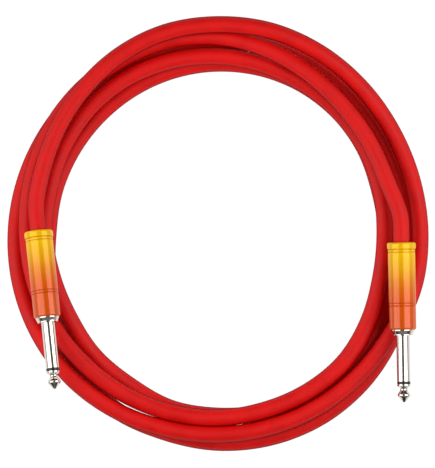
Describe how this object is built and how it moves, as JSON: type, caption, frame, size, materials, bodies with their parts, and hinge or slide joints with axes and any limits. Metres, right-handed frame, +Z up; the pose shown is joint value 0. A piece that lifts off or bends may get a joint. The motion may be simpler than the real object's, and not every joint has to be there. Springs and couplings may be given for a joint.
{
  "type": "instrument cable",
  "caption": "Coiled red instrument cable with a straight 6.35 mm plug on each end; the yellow-to-orange barrels unscrew and slide back over the cable.",
  "frame": {"origin": "centre of the whole part's box, on the table under the coil", "axes": "+Z up from the table, -Y the way both plug tips point, +X from the tilted plug toward the level one"},
  "size_m": [0.1986, 0.2052, 0.0359],
  "materials": {
    "jacket_pvc": "satin PVC jacket",
    "barrel_paint": "gloss lacquer fading from yellow to orange",
    "nickel": "bright nickel plate",
    "black_plastic": "moulded black plastic",
    "clear_plastic": "clear plastic tube",
    "brass": "stamped brass",
    "fibre": "pressed fibre washer",
    "copper": "bare copper strands",
    "conductive_plastic": "conductive black plastic",
    "insulation_pe": "natural polyethylene",
    "solder": "solder"
  },
  "bodies": {
    "root": {"cable_coil": "jacket_pvc", "left_plug_shaft": "nickel", "left_tip_insulator": "black_plastic", "left_tip_contact": "nickel", "left_ground_lug": "brass", "left_rear_insulator": "fibre", "left_tip_lug": "brass", "left_cable_end": "jacket_pvc", "left_shield_braid": "copper", "left_conductive_layer": "conductive_plastic", "left_core_insulation": "insulation_pe", "left_core_wire": "copper", "left_shield_pigtail": "copper", "left_tip_solder": "solder", "left_ground_solder": "solder", "right_plug_shaft": "nickel", "right_tip_insulator": "black_plastic", "right_tip_contact": "nickel", "right_ground_lug": "brass", "right_rear_insulator": "fibre", "right_tip_lug": "brass", "right_cable_end": "jacket_pvc", "right_shield_braid": "copper", "right_conductive_layer": "conductive_plastic", "right_core_insulation": "insulation_pe", "right_core_wire": "copper", "right_shield_pigtail": "copper", "right_tip_solder": "solder", "right_ground_solder": "solder"},
    "left_sleeve": {"left_insulating_sleeve": "clear_plastic"},
    "left_barrel_body": {"left_barrel": "barrel_paint"},
    "right_sleeve": {"right_insulating_sleeve": "clear_plastic"},
    "right_barrel_body": {"right_barrel": "barrel_paint"}
  },
  "joints": [
    {"name": "left_barrel_slide", "type": "slide", "parent": "root", "child": "left_sleeve", "axis": [-0.1035, 0.9848, -0.1392], "range_m": [0, 0.0051]},
    {"name": "left_barrel_turn", "type": "hinge", "parent": "left_sleeve", "child": "left_barrel_body", "pos_m": [-0.08252, -0.01939, 0.02572], "axis": [-0.1035, 0.9848, -0.1392], "range_deg": [0, 1800]},
    {"name": "right_barrel_slide", "type": "slide", "parent": "root", "child": "right_sleeve", "axis": [-0.0175, 0.9998, 0], "range_m": [0, 0.0051]},
    {"name": "right_barrel_turn", "type": "hinge", "parent": "right_sleeve", "child": "right_barrel_body", "pos_m": [0.08696, -0.0249, 0.02305], "axis": [-0.0175, 0.9998, 0], "range_deg": [0, 1800]}
  ],
  "couplings": [
    {"joint": "left_barrel_slide", "follows": "left_barrel_turn", "m_per_rad": 0.00015915},
    {"joint": "right_barrel_slide", "follows": "right_barrel_turn", "m_per_rad": 0.00015915}
  ]
}
